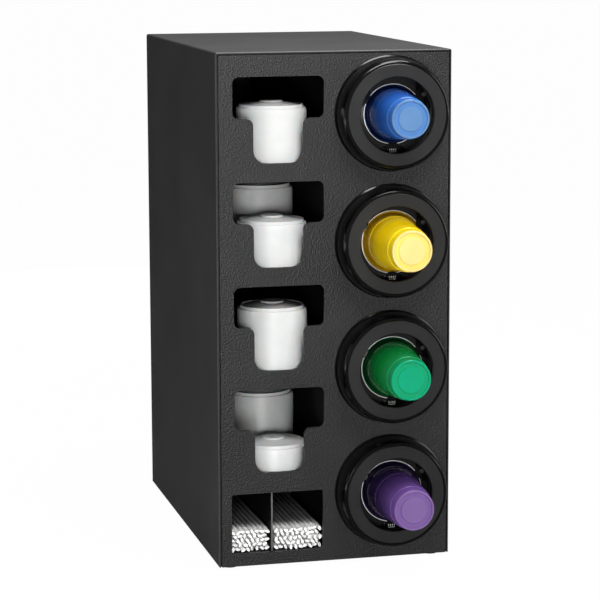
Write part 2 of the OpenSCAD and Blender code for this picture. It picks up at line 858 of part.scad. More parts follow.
casing();
front_panel();
lid_panel();
straw_panel();
back_panel();
base_panel();
centre_wall();
lid_shelves();
straw_tray();
straw_divider();
feet();
foot_screws();
back_panel_screws();
bezel_screws();
bezel(1);  // bezel_1
bezel(2);  // bezel_2
bezel(3);  // bezel_3
bezel(4);  // bezel_4
size_ring(1);  // size_ring_1
size_ring(2);  // size_ring_2
size_ring(3);  // size_ring_3
size_ring(4);  // size_ring_4
jaw(1, 0);  // jaw_1_top
jaw(1, 1);  // jaw_1_right
jaw(1, 2);  // jaw_1_left
jaw(2, 0);  // jaw_2_top
jaw(2, 1);  // jaw_2_right
jaw(2, 2);  // jaw_2_left
jaw(3, 0);  // jaw_3_top
jaw(3, 1);  // jaw_3_right
jaw(3, 2);  // jaw_3_left
jaw(4, 0);  // jaw_4_top
jaw(4, 1);  // jaw_4_right
jaw(4, 2);  // jaw_4_left
cup_tube(1);  // cup_tube_1
cup_tube(2);  // cup_tube_2
cup_tube(3);  // cup_tube_3
cup_tube(4);  // cup_tube_4
tube_caps();
pusher(1);  // pusher_1
pusher(2);  // pusher_2
pusher(3);  // pusher_3
pusher(4);  // pusher_4
feed_spring(1);  // spring_1
feed_spring(2);  // spring_2
feed_spring(3);  // spring_3
feed_spring(4);  // spring_4
cup_stack(1, "royalblue");  // cup_stack_1
cup_stack(2, "gold");  // cup_stack_2
cup_stack(3, "mediumseagreen");  // cup_stack_3
cup_stack(4, "mediumpurple");  // cup_stack_4
lid_stack(1, lid_shift, lid_y, front_lid_count[0]);  // lid_stack_1
lid_stack(2, lid_shift, lid_y, front_lid_count[1]);  // lid_stack_2
lid_stack(3, lid_shift, lid_y, front_lid_count[2]);  // lid_stack_3
lid_stack(4, lid_shift, lid_y, front_lid_count[3]);  // lid_stack_4
lid_stack(2, rear_lid_shift, rear_lid_y, rear_lid_count[1]);  // rear_lid_stack_2
lid_stack(4, rear_lid_shift, rear_lid_y, rear_lid_count[3]);  // rear_lid_stack_4
straws(left_pile_x, left_straws, 3);  // straws_left
straws(right_pile_x, right_straws, 7);  // straws_right
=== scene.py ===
import math
import random

import bpy
from mathutils import Euler, Matrix, Vector


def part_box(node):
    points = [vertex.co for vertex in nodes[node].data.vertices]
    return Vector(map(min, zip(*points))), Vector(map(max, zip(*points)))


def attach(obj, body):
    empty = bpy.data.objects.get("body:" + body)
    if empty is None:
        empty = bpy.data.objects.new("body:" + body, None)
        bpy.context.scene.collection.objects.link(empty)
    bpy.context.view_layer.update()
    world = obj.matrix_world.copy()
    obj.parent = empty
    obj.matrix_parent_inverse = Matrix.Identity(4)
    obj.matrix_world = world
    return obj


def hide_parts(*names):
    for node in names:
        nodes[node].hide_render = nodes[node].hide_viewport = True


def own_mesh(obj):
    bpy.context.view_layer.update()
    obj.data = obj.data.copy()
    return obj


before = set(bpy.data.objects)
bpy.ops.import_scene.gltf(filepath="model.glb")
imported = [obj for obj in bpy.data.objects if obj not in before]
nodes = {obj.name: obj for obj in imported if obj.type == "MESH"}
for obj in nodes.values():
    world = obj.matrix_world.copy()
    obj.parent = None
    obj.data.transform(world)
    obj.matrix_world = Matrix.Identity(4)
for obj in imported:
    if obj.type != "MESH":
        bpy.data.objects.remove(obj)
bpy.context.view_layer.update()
mm = 0.001
nearlyOne = 0.9
levels = (1, 2, 3, 4)
print("frame loaded,", len(nodes), "nodes")

# places read from the frame

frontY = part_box("front_panel")[0].y
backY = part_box("back_panel")[1].y
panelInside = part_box("front_panel")[1].y
collarAxis = {}
for k in levels:
    low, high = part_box(f"size_ring_{k}")
    collarAxis[k] = Vector(((low.x + high.x) / 2, frontY, (low.z + high.z) / 2))


def atCollar(k, radius, degrees, out):
    a = math.radians(degrees)
    return collarAxis[k] + Vector((radius * math.cos(a), -out, radius * math.sin(a)))


# camera

cameraSetup = {"left": 0.724, "before": 2.772, "height": 0.808,
               "yaw": 13.77, "pitch": -9.33, "roll": -0.18,
               "focal": 2343, "frameWidth": 600, "sensor": 36, "clipEnd": 60}


def addCamera(setup):
    bpy.ops.object.select_all(action="DESELECT")
    place = (-setup["left"], frontY - setup["before"], setup["height"])
    bpy.ops.object.camera_add(location=place)
    camera = bpy.context.object
    aim = Euler((math.radians(90 + setup["pitch"]), 0, math.radians(-setup["yaw"]))).to_matrix()
    tilt = Matrix.Rotation(math.radians(setup["roll"]), 3, "Z")
    camera.rotation_euler = (aim @ tilt).to_euler()
    camera.data.sensor_width = setup["sensor"]
    camera.data.lens = setup["focal"] / setup["frameWidth"] * setup["sensor"]
    camera.data.clip_end = setup["clipEnd"]
    bpy.context.scene.camera = camera


addCamera(cameraSetup)

# node helpers

def link(tree, source, socket):
    tree.links.new(source, socket)


def feed(tree, value, socket):  # a number, a colour, or another node's output
    if isinstance(value, float):
        socket.default_value = value
    elif isinstance(value, tuple):
        socket.default_value = (*value, 1)
    else:
        link(tree, value, socket)


def newTree(name):
    material = bpy.data.materials.new(name)
    material.use_nodes = True
    tree = material.node_tree
    shader = tree.nodes["Principled BSDF"]
    place = tree.nodes.new("ShaderNodeTexCoord")
    return material, tree, shader, place.outputs["Object"]


def stretched(tree, place, stretch):
    mapping = tree.nodes.new("ShaderNodeMapping")
    mapping.inputs["Scale"].default_value = stretch
    link(tree, place, mapping.inputs["Vector"])
    return mapping.outputs["Vector"]


noiseSpan = (0.3, 0.7)  # where most of a noise texture's values lie


def noise(tree, place, scale, detail=3.0, rough=0.55):
    node = tree.nodes.new("ShaderNodeTexNoise")
    node.inputs["Scale"].default_value = scale
    node.inputs["Detail"].default_value = detail
    node.inputs["Roughness"].default_value = rough
    link(tree, place, node.inputs["Vector"])
    return node.outputs[0]


def cells(tree, place, scale, smooth=0.6):
    node = tree.nodes.new("ShaderNodeTexVoronoi")
    node.feature = "SMOOTH_F1"
    node.inputs["Scale"].default_value = scale
    node.inputs["Smoothness"].default_value = smooth
    link(tree, place, node.inputs["Vector"])
    return node.outputs["Distance"]


def spread(tree, value, low, high, source=noiseSpan):
    node = tree.nodes.new("ShaderNodeMapRange")
    node.inputs["From Min"].default_value = source[0]
    node.inputs["From Max"].default_value = source[1]
    node.inputs["To Min"].default_value = low
    node.inputs["To Max"].default_value = high
    link(tree, value, node.inputs["Value"])
    return node.outputs["Result"]


def mixColours(tree, factor, first, second, blend="MIX"):
    node = tree.nodes.new("ShaderNodeMix")
    node.data_type = "RGBA"
    node.blend_type = blend
    for j, value in ((0, factor), (6, first), (7, second)):  # its colour sockets are 6 and 7
        feed(tree, value, node.inputs[j])
    return node.outputs[2]


def axisOf(tree, place, letter):
    parts = tree.nodes.new("ShaderNodeSeparateXYZ")
    link(tree, place, parts.inputs[0])
    return parts.outputs[letter]


def ramp(tree, value, stops):
    node = tree.nodes.new("ShaderNodeValToRGB")
    points = node.color_ramp.elements
    while len(points) < len(stops):
        points.new(1.0)
    for point, (at, colour) in zip(points, stops):
        point.position = at
        point.color = (*colour, 1)
    link(tree, value, node.inputs[0])
    return node.outputs[0]


def sums(tree, operation, first, second):
    node = tree.nodes.new("ShaderNodeMath")
    node.operation = operation
    for socket, value in zip(node.inputs, (first, second)):
        feed(tree, value, socket)
    return node.outputs[0]


def addBump(tree, shader, height, strength, distance):
    node = tree.nodes.new("ShaderNodeBump")
    node.inputs["Strength"].default_value = strength
    node.inputs["Distance"].default_value = distance
    link(tree, height, node.inputs["Height"])
    link(tree, node.outputs["Normal"], shader.inputs["Normal"])


# a finish: two colours in broad clouds, a roughness that varies, and a fine grain
finishes = {
    "casingSatin": {"dark": (0.05, 0.05, 0.05), "light": (0.064, 0.064, 0.064), "cloud": 9,
                    "rough": (0.42, 0.52), "grain": 1100, "strength": 0.25, "depth": 0.0002,
                    "inside": (0.01, 0.01, 0.01), "skin": 1 * mm,
                    "sockets": {"Specular IOR Level": 0.35}},
    "backSatin": {"dark": (0.046, 0.046, 0.046), "light": (0.06, 0.06, 0.06), "cloud": 9,
                  "rough": (0.42, 0.52), "grain": 1100, "strength": 0.25, "depth": 0.0002,
                  "sockets": {"Specular IOR Level": 0.35}},
    "panelPebble": {"dark": (0.008, 0.008, 0.008), "light": (0.012, 0.012, 0.012), "cloud": 14,
                    "rough": (0.4, 0.55), "grain": 480, "strength": 0.8, "depth": 0.0006,
                    "pebbles": True, "sockets": {"Specular IOR Level": 0.45}},
    "innerMatt": {"dark": (0.008, 0.008, 0.009), "light": (0.013, 0.013, 0.013), "cloud": 12,
                  "rough": (0.6, 0.75), "grain": 900, "strength": 0.2, "depth": 0.0002,
                  "sockets": {"Specular IOR Level": 0.2}},
    # the divider's light front edge and its darkening further in by depth are painted light: a painted
    # highlight on the edge and painted shade behind it
    "dividerEdgePaintedLight": {"dark": (0.1, 0.1, 0.1), "light": (0.14, 0.14, 0.14), "cloud": 20,
                    "rough": (0.45, 0.6), "grain": 900, "strength": 0.15, "depth": 0.0002,
                    "sockets": {"Specular IOR Level": 0.2},
                    "span": (panelInside + 2 * mm, panelInside + 4 * mm),
                    "stops": [(0.0, (1, 1, 1)), (1.0, (0.07, 0.07, 0.07))]},
    "bezelGloss": {"dark": (0.0015, 0.0015, 0.0015), "light": (0.003, 0.003, 0.003), "cloud": 16,
                   "rough": (0.13, 0.2), "grain": 700, "strength": 0.03, "depth": 0.0002,
                   "sockets": {"Specular IOR Level": 0.3}},
    "ringSatin": {"dark": (0.008, 0.008, 0.008), "light": (0.012, 0.012, 0.012), "cloud": 25,
                  "rough": (0.36, 0.46), "grain": 1300, "strength": 0.2, "depth": 0.00015,
                  "sockets": {"Specular IOR Level": 0.4}},
    "jawGloss": {"dark": (0.003, 0.003, 0.003), "light": (0.006, 0.006, 0.006), "cloud": 40,
                 "rough": (0.18, 0.28), "grain": 900, "strength": 0.05, "depth": 0.0001,
                 "sockets": {}},
    # near-white beads on the jaw edges: painted highlights standing for the glint of the edges
    "jawGlintWhite": {"dark": (0.8, 0.8, 0.8), "light": (0.9, 0.9, 0.9), "cloud": 120,
                  "rough": (0.2, 0.32), "grain": 1500, "strength": 0.08, "depth": 0.0001,
                  "sockets": {"Metallic": 0.15}},
    "steelDark": {"dark": (0.16, 0.16, 0.16), "light": (0.26, 0.26, 0.26), "cloud": 300,
                  "rough": (0.3, 0.45), "grain": 2200, "strength": 0.1, "depth": 0.0001,
                  "sockets": {"Metallic": 0.9}},
    "screwBlack": {"dark": (0.02, 0.02, 0.02), "light": (0.035, 0.035, 0.035), "cloud": 300,
                   "rough": (0.35, 0.5), "grain": 2200, "strength": 0.1, "depth": 0.0001,
                   "sockets": {"Specular IOR Level": 0.4}},
    "springSteel": {"dark": (0.42, 0.42, 0.43), "light": (0.58, 0.58, 0.58), "cloud": 90,
                    "rough": (0.25, 0.4), "grain": 1600, "strength": 0.1, "depth": 0.0001,
                    "sockets": {"Metallic": 1.0}},
    "footRubber": {"dark": (0.008, 0.008, 0.008), "light": (0.016, 0.016, 0.016), "cloud": 70,
                   "rough": (0.75, 0.9), "grain": 1500, "strength": 0.3, "depth": 0.0002,
                   "sockets": {"Specular IOR Level": 0.25}},
    "pusherWhite": {"dark": (0.66, 0.66, 0.64), "light": (0.74, 0.74, 0.72), "cloud": 25,
                    "rough": (0.4, 0.5), "grain": 900, "strength": 0.08, "depth": 0.0001,
                    "sockets": {}},
    "lidWhite": {"dark": (0.58, 0.58, 0.576), "light": (0.64, 0.64, 0.636), "cloud": 30,
                 "rough": (0.34, 0.44), "grain": 700, "strength": 0.06, "depth": 0.0001,
                 "sockets": {"Subsurface Weight": 0.15, "Subsurface Scale": 0.002}},
    "strawPaperShadedDeep": {"dark": (0.88, 0.88, 0.87), "light": (0.97, 0.97, 0.965), "cloud": 160,
                   "rough": (0.5, 0.7), "grain": 900, "strength": 0.35, "depth": 0.0004,
                   "stretch": (1, 0.12, 1), "sockets": {},
                   # the stops darken the straws by depth into the bin: painted shade
                   "span": (panelInside, panelInside + 150 * mm),
                   "stops": [(0.0, (1, 1, 1)), (0.1, (1, 1, 1)), (0.35, (0.45, 0.45, 0.45)),
                             (1.0, (0.1, 0.1, 0.1))]},
    "tickGrey": {"dark": (0.4, 0.4, 0.39), "light": (0.5, 0.5, 0.49), "cloud": 400,
                 "rough": (0.45, 0.6), "grain": 2000, "strength": 0.1, "depth": 0.0001,
                 "sockets": {}},
}
# each cup is palest at its bottom and deeper in colour where more cups overlap; the darkening towards
# the collar is partly that tint and partly painted shade
cupTints = {
    1: {"name": "cupBlue", "bodyAt": 0.4, "deepAt": 0.85,
        "pale": (0.103, 0.213, 0.405), "light": (0.045, 0.17, 0.54), "body": (0.016, 0.09, 0.4),
        "deep": (0.004, 0.012, 0.06)},
    2: {"name": "cupYellow", "bodyAt": 0.5, "deepAt": 1.0,
        "pale": (0.86, 0.66, 0.25), "light": (1.0, 0.68, 0.01), "body": (1.0, 0.64, 0.002),
        "deep": (0.4, 0.22, 0.006)},
    3: {"name": "cupGreen", "bodyAt": 0.4, "deepAt": 0.9,
        "pale": (0.003, 0.335, 0.166), "light": (0.008, 0.3, 0.1), "body": (0.004, 0.22, 0.036),
        "deep": (0.002, 0.05, 0.012)},
    4: {"name": "cupPurple", "bodyAt": 0.3, "deepAt": 0.7,
        "pale": (0.198, 0.117, 0.312), "light": (0.17, 0.08, 0.32), "body": (0.065, 0.027, 0.14),
        "deep": (0.012, 0.006, 0.03)},
}
# the line keys set a thin lighter ring on each cup: a painted highlight standing for a step edge in
# the stack
cupShell = {"paleTo": 0.8 * mm, "groove": 2.6 * mm, "glintLineAt": 0.6, "glintLineHalf": 0.014,
            "glintLineShare": 0.4, "dark": (0.88, 0.88, 0.88), "light": (1.0, 1.0, 1.0), "cloud": 22,
            "rough": (0.16, 0.26), "grain": 500, "strength": 0.04, "depth": 0.0001,
            "sockets": {"Transmission Weight": 0.08, "IOR": 1.4, "Subsurface Weight": 0.15,
                        "Subsurface Scale": 0.003}}


def between(first, second, share):
    return tuple(a + (b - a) * share for a, b in zip(first, second))


def cupLook(k, tint):
    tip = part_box(f"cup_stack_{k}")[0].y
    reach = frontY - tip
    line, half = cupShell["glintLineAt"], cupShell["glintLineHalf"]
    deepened = (line - tint["bodyAt"]) / (tint["deepAt"] - tint["bodyAt"])
    around = between(tint["body"], tint["deep"], deepened)
    # the deep end of the ramp is partly the tint of overlapping cups and partly painted shade from the
    # collar
    stops = [(0.0, tint["pale"]), (cupShell["paleTo"] / reach, tint["pale"]),
             (cupShell["groove"] / reach, tint["light"]), (tint["bodyAt"], tint["body"]),
             (line - half, around), (line, between(around, tint["pale"], cupShell["glintLineShare"])),
             (line + half, around), (tint["deepAt"], tint["deep"])]
    return {**cupShell, "span": (tip, frontY), "stops": stops}


def outsideShare(tree, place, skin):  # 1 on the outer faces of the casing, 0 inside it
    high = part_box("casing")[1]
    across = sums(tree, "ABSOLUTE", axisOf(tree, place, "X"), 0.0)
    side = sums(tree, "GREATER_THAN", across, high.x - skin)
    top = sums(tree, "GREATER_THAN", axisOf(tree, place, "Z"), high.z - skin)
    return sums(tree, "MAXIMUM", side, top)


grainDetail = 4


def makeFinish(name, look):
    material, tree, shader, place = newTree(name)
    plain = place  # not stretched, for what goes by a piece's place
    if "stretch" in look:
        place = stretched(tree, place, look["stretch"])
    cloud = noise(tree, place, look["cloud"])
    colour = mixColours(tree, spread(tree, cloud, 0, 1), look["dark"], look["light"])
    if "inside" in look:
        outside = outsideShare(tree, plain, look["skin"])
        colour = mixColours(tree, outside, look["inside"], colour)
    # the stops multiply a colour ramp along Y: painted shade deeper in for the straws and the divider;
    # on the cups, the tint of overlapping cups with painted shade and a painted highlight line
    if "stops" in look:
        depth = spread(tree, axisOf(tree, plain, "Y"), 0, 1, look["span"])
        colour = mixColours(tree, 1.0, ramp(tree, depth, look["stops"]), colour, "MULTIPLY")
    link(tree, colour, shader.inputs["Base Color"])
    fine = noise(tree, place, look["grain"], grainDetail)
    link(tree, spread(tree, fine, *look["rough"]), shader.inputs["Roughness"])
    height = fine
    if look.get("pebbles"):
        height = cells(tree, place, look["grain"])
    addBump(tree, shader, height, look["strength"], look["depth"])
    for socket, value in look["sockets"].items():
        shader.inputs[socket].default_value = value
    material.diffuse_color = (*look["light"], 1)
    return material


finish = {name: makeFinish(name, look) for name, look in finishes.items()}
for k, tint in cupTints.items():
    finish[tint["name"]] = makeFinish(tint["name"], cupLook(k, tint))
print("finishes made:", len(finish))

nodeFinish = {"casing": "casingSatin", "front_panel": "panelPebble", "lid_panel": "panelPebble",
              "straw_panel": "panelPebble", "back_panel": "backSatin",
              "base_panel": "innerMatt", "centre_wall": "innerMatt", "lid_shelves": "innerMatt",
              "straw_tray": "innerMatt", "straw_divider": "dividerEdgePaintedLight", "feet": "footRubber",
              "foot_screws": "steelDark", "tube_caps": "innerMatt"}
for k in levels:
    nodeFinish.update({f"bezel_{k}": "bezelGloss", f"size_ring_{k}": "ringSatin",
                       f"cup_tube_{k}": "innerMatt", f"pusher_{k}": "pusherWhite",
                       f"cup_stack_{k}": cupTints[k]["name"], f"lid_stack_{k}": "lidWhite"})
    for side in ("top", "right", "left"):
        nodeFinish[f"jaw_{k}_{side}"] = "jawGloss"
for k in (2, 4):
    nodeFinish[f"rear_lid_stack_{k}"] = "lidWhite"
for name, finishName in nodeFinish.items():
    mesh = nodes[name].data
    mesh.materials.clear()
    mesh.materials.append(finish[finishName])
print("finishes on", len(nodeFinish), "nodes")

# mesh helpers


def startPiece():
    if bpy.context.object and bpy.context.object.mode != "OBJECT":
        bpy.ops.object.mode_set(mode="OBJECT")
    bpy.ops.object.select_all(action="DESELECT")


def only(piece):
    startPiece()
    piece.select_set(True)
    bpy.context.view_layer.objects.active = piece


def applyPlace(piece):
    only(piece)
    bpy.ops.object.transform_apply(location=True, rotation=True, scale=True)


def applyModifiers(piece):
    only(piece)
    for modifier in list(piece.modifiers):
        bpy.ops.object.modifier_apply(modifier=modifier.name)


def clearPicks(piece):
    bpy.ops.object.mode_set(mode="OBJECT")
    mesh = piece.data
    for part in (*mesh.vertices, *mesh.edges, *mesh.polygons):
        part.select = False


def pickFaces(piece, test):
    clearPicks(piece)
    for face in piece.data.polygons:
        face.select = test(face)
    bpy.ops.object.mode_set(mode="EDIT")
    bpy.ops.mesh.select_mode(type="FACE")


def pickEdges(piece, test):
    clearPicks(piece)
    points = piece.data.vertices
    for edge in piece.data.edges:
        edge.select = test(points[edge.vertices[0]].co, points[edge.vertices[1]].co)
    bpy.ops.object.mode_set(mode="EDIT")
    bpy.ops.mesh.select_mode(type="EDGE")


def joinAll(pieces, name):
    startPiece()
    for piece in pieces:
        piece.select_set(True)
    bpy.context.view_layer.objects.active = pieces[0]
    if len(pieces) > 1:
        bpy.ops.object.join()
    whole = bpy.context.object
    whole.name = name
    whole.data.name = name
    return whole


def copyOf(model, place, turn):
    only(model)
    bpy.ops.object.duplicate(linked=False)
    copy = bpy.context.object
    copy.rotation_euler = turn
    copy.location = place
    applyPlace(copy)
    return copy


def removePiece(piece):
    only(piece)
    bpy.ops.object.delete()


def dress(piece, finishName, body):
    piece.data.materials.clear()
    piece.data.materials.append(finish[finishName])
    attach(piece, body)


def smoothByAngle(piece, degrees):
    only(piece)
    bpy.ops.object.shade_smooth_by_angle(angle=math.radians(degrees))


# feed springs, with a closed turn at each end

springSetup = {"coilRadius": 34 * mm, "wireRadius": 1 * mm, "turns": 12, "endPitch": 2.3 * mm,
               "stepsPerTurn": 24, "wireSides": 10, "weld": 0.02 * mm, "smooth": 40,
               "travel": 60 * mm}


def coilPart(setup, start, rise, turns):
    startPiece()
    bpy.ops.mesh.primitive_circle_add(vertices=setup["wireSides"], radius=setup["wireRadius"],
                                      location=(setup["coilRadius"], 0, 0))
    part = bpy.context.object
    applyPlace(part)
    coil = part.modifiers.new("coil", "SCREW")
    coil.axis = "Y"
    coil.angle = 2 * math.pi * turns
    coil.screw_offset = rise
    coil.iterations = 1
    coil.steps = setup["stepsPerTurn"] * turns
    coil.render_steps = coil.steps
    coil.use_merge_vertices = False
    applyModifiers(part)
    part.location = (0, start, 0)
    applyPlace(part)
    return part


def makeSpring(setup, length):
    wire, pitch = setup["wireRadius"], setup["endPitch"]
    long = length - 2 * wire - 2 * pitch
    parts = [coilPart(setup, wire, pitch, 1),
             coilPart(setup, wire + pitch, long, setup["turns"]),
             coilPart(setup, wire + pitch + long, pitch, 1)]
    spring = joinAll(parts, "springModel")
    only(spring)
    bpy.ops.object.mode_set(mode="EDIT")
    bpy.ops.mesh.select_mode(type="VERT")
    bpy.ops.mesh.select_all(action="SELECT")
    bpy.ops.mesh.remove_doubles(threshold=setup["weld"])
    bpy.ops.mesh.select_all(action="DESELECT")
    bpy.ops.mesh.select_non_manifold(extend=False)
    bpy.ops.mesh.fill_holes(sides=setup["wireSides"])
    bpy.ops.mesh.select_all(action="SELECT")
    bpy.ops.mesh.normals_make_consistent(inside=False)
    bpy.ops.object.mode_set(mode="OBJECT")
    return spring


springLow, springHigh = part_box("spring_1")
springLength = springHigh.y - springLow.y
springModel = makeSpring(springSetup, springLength)
for k in levels:
    low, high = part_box(f"spring_{k}")
    axis = collarAxis[k]
    spring = copyOf(springModel, (axis.x, low.y, axis.z), (0, 0, 0))
    spring.name = f"feedSpring{k}"
    smoothByAngle(spring, springSetup["smooth"])
    dress(spring, "springSteel", "cabinet")
    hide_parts(f"spring_{k}")
    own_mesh(spring)
removePiece(springModel)
print("springs done")

# screws with a cross recess

screwSetup = {"headRadius": 3 * mm, "headHeight": 2 * mm, "shankRadius": 1.75 * mm,
              "crown": 0.6 * mm, "crownSteps": 4, "sides": 32, "smooth": 35,
              "recessLength": 3.4 * mm, "recessWidth": 0.8 * mm, "recessDepth": 1.1 * mm}


def makeScrew(setup, length):
    r, h = setup["headRadius"], setup["headHeight"]
    startPiece()
    bpy.ops.mesh.primitive_cylinder_add(vertices=setup["sides"], radius=r, depth=h,
                                        location=(0, 0, h / 2))
    screw = bpy.context.object
    applyPlace(screw)
    pickEdges(screw, lambda a, b: min(a.z, b.z) > h / 2)
    bpy.ops.mesh.bevel(offset=setup["crown"], segments=setup["crownSteps"], affect="EDGES")
    pickFaces(screw, lambda face: face.normal.z < -nearlyOne)
    bpy.ops.mesh.inset(thickness=r - setup["shankRadius"])
    bpy.ops.mesh.extrude_region_move(TRANSFORM_OT_translate={"value": (0, 0, -length)})
    bpy.ops.object.mode_set(mode="OBJECT")
    cutters = []
    for turn in (0, math.pi / 2):
        startPiece()
        bpy.ops.mesh.primitive_cube_add(size=1, location=(0, 0, h))
        cutter = bpy.context.object
        cutter.scale = (setup["recessLength"], setup["recessWidth"], 2 * setup["recessDepth"])
        cutter.rotation_euler = (0, 0, turn)
        applyPlace(cutter)
        cutters.append(cutter)
    for cutter in cutters:
        only(screw)
        cut = screw.modifiers.new("recess", "BOOLEAN")
        cut.operation = "DIFFERENCE"
        cut.solver = "EXACT"
        cut.object = cutter
        applyModifiers(screw)
    for cutter in cutters:
        removePiece(cutter)
    return screw


collarScrews = {"radius": 46 * mm, "degrees": (30, 150, 270), "headOut": 6.85 * mm,
                "length": 14 * mm}
screwModel = makeScrew(screwSetup, collarScrews["length"])
copies = []
for k in levels:
    for degrees in collarScrews["degrees"]:
        place = atCollar(k, collarScrews["radius"], degrees, collarScrews["headOut"])
        copies.append(copyOf(screwModel, place, (math.pi / 2, 0, 0)))
removePiece(screwModel)
bezelScrews = joinAll(copies, "bezelScrews")
smoothByAngle(bezelScrews, screwSetup["smooth"])
dress(bezelScrews, "screwBlack", "cabinet")
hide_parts("bezel_screws")

backScrews = {"count": 4, "length": 7 * mm}
low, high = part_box("back_panel_screws")
reach = screwSetup["headRadius"]
screwModel = makeScrew(screwSetup, backScrews["length"])
copies = []
for x in (low.x + reach, high.x - reach):
    for j in range(backScrews["count"]):
        z = low.z + reach + (high.z - low.z - 2 * reach) * j / (backScrews["count"] - 1)
        copies.append(copyOf(screwModel, (x, backY, z), (-math.pi / 2, 0, 0)))
removePiece(screwModel)
panelScrews = joinAll(copies, "backPanelScrews")
smoothByAngle(panelScrews, screwSetup["smooth"])
dress(panelScrews, "steelDark", "cabinet")
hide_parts("back_panel_screws")
print("screws done")

# white beads along the inner edges of the jaws: painted highlights standing for the glint on the jaw
# edges

glintBeadSetup = {"beadRadius": 0.55 * mm, "sides": 10, "jawOut": 8.7 * mm, "set": 0.35 * mm,
            "spare": 1.5, "steps": 40, "nearEdge": 0.1 * mm, "weld": 0.005 * mm, "smooth": 50,
            "middles": {"top": 90, "right": 330, "left": 210}}


def jawReach(k, side):
    axis = collarAxis[k]
    points = [vertex.co - axis for vertex in nodes[f"jaw_{k}_{side}"].data.vertices]
    inner = min(math.hypot(point.x, point.z) for point in points)
    middle = math.radians(glintBeadSetup["middles"][side])
    widest = 0
    for point in points:
        if math.hypot(point.x, point.z) < inner + glintBeadSetup["nearEdge"]:
            off = math.atan2(point.z, point.x) - middle
            off = (off + math.pi) % (2 * math.pi) - math.pi
            widest = max(widest, abs(off))
    return inner, math.degrees(widest)


for k in levels:
    for side, middle in glintBeadSetup["middles"].items():
        inner, half = jawReach(k, side)
        half -= glintBeadSetup["spare"]
        start = atCollar(k, inner + glintBeadSetup["set"], middle - half, glintBeadSetup["jawOut"])
        startPiece()
        bpy.ops.mesh.primitive_circle_add(vertices=glintBeadSetup["sides"],
                                          radius=glintBeadSetup["beadRadius"],
                                          fill_type="NGON", location=start,
                                          rotation=(0, -math.radians(middle - half), 0))
        bead = bpy.context.object
        applyPlace(bead)
        only(bead)
        bpy.ops.object.mode_set(mode="EDIT")
        bpy.ops.mesh.select_all(action="SELECT")
        bpy.ops.mesh.spin(steps=glintBeadSetup["steps"], angle=math.radians(2 * half),
                          center=collarAxis[k], axis=(0, 1, 0))
        bpy.ops.mesh.select_all(action="SELECT")
        bpy.ops.mesh.remove_doubles(threshold=glintBeadSetup["weld"])
        bpy.ops.mesh.normals_make_consistent(inside=False)
        bpy.ops.object.mode_set(mode="OBJECT")
        bead.name = f"jawGlintBead{k}{side.capitalize()}"
        smoothByAngle(bead, glintBeadSetup["smooth"])
        dress(bead, "jawGlintWhite", f"jaw_{k}_{side}")
print("jaw beads done")

# a bare plate over the low screw of each collar, with four plain ticks over a bar

plateSetup = {"radius": 45 * mm, "degrees": 270, "out": 8.85 * mm, "thick": 0.4 * mm,
              "wide": 11 * mm, "tall": 6.4 * mm, "corner": 0.15 * mm, "cornerSteps": 2,
              "markHeight": 0.2 * mm, "heightPerCorner": 3}
markRows = ({"up": 1.1 * mm, "count": 4, "step": 2.5 * mm, "wide": 1.2 * mm, "tall": 2.2 * mm},
            {"up": -1.7 * mm, "count": 1, "step": 0, "wide": 8.7 * mm, "tall": 1.0 * mm})


def softBlock(place, size, corner):
    startPiece()
    bpy.ops.mesh.primitive_cube_add(size=1, location=place)
    block = bpy.context.object
    block.scale = size
    applyPlace(block)
    soft = block.modifiers.new("soft", "BEVEL")
    soft.width = corner
    soft.segments = plateSetup["cornerSteps"]
    applyModifiers(block)
    return block


for k in levels:
    middle = atCollar(k, plateSetup["radius"], plateSetup["degrees"],
                      plateSetup["out"] + plateSetup["thick"] / 2)
    plateSize = (plateSetup["wide"], plateSetup["thick"], plateSetup["tall"])
    plate = softBlock(middle, plateSize, plateSetup["corner"])
    plate = joinAll([plate], f"collarPlate{k}")
    dress(plate, "jawGloss", "cabinet")
    height = plateSetup["markHeight"]
    corner = height / plateSetup["heightPerCorner"]
    face = middle - Vector((0, (plateSetup["thick"] + height) / 2, 0))
    ticks = []
    for row in markRows:
        for j in range(row["count"]):
            across = (j - (row["count"] - 1) / 2) * row["step"]
            place = face + Vector((across, 0, row["up"]))
            ticks.append(softBlock(place, (row["wide"], height, row["tall"]), corner))
    marks = joinAll(ticks, f"collarTicks{k}")
    dress(marks, "tickGrey", "cabinet")
print("plates and ticks done")

# wrapped straws, pressed flat at both ends

strawSetup = {"radius": 2.9 * mm, "length": 200 * mm, "sides": 10, "step": 6.25 * mm, "rows": 5,
              "rowAngle": 60, "neck": 4 * mm, "crimp": 6 * mm, "crimpWide": 1.08,
              "crimpThin": 0.62, "stray": 4 * mm, "lift": 3 * mm, "smooth": 45,
              "left": {"count": 9, "seed": 3}, "right": {"count": 10, "seed": 7}}


def makeStraw(setup):
    tube = setup["length"] - 2 * (setup["neck"] + setup["crimp"])
    startPiece()
    bpy.ops.mesh.primitive_cylinder_add(vertices=setup["sides"], radius=setup["radius"],
                                        depth=tube, location=(0, setup["length"] / 2, 0),
                                        rotation=(math.pi / 2, 0, 0))
    straw = bpy.context.object
    applyPlace(straw)
    for way in (-1, 1):
        only(straw)
        pickFaces(straw, lambda face: face.normal.y * way > nearlyOne)
        neck, crimp = (0, way * setup["neck"], 0), (0, way * setup["crimp"], 0)
        bpy.ops.mesh.extrude_region_move(TRANSFORM_OT_translate={"value": neck})
        bpy.ops.transform.resize(value=(setup["crimpWide"], 1, setup["crimpThin"]))
        bpy.ops.mesh.extrude_region_move(TRANSFORM_OT_translate={"value": crimp})
        bpy.ops.object.mode_set(mode="OBJECT")
    return straw


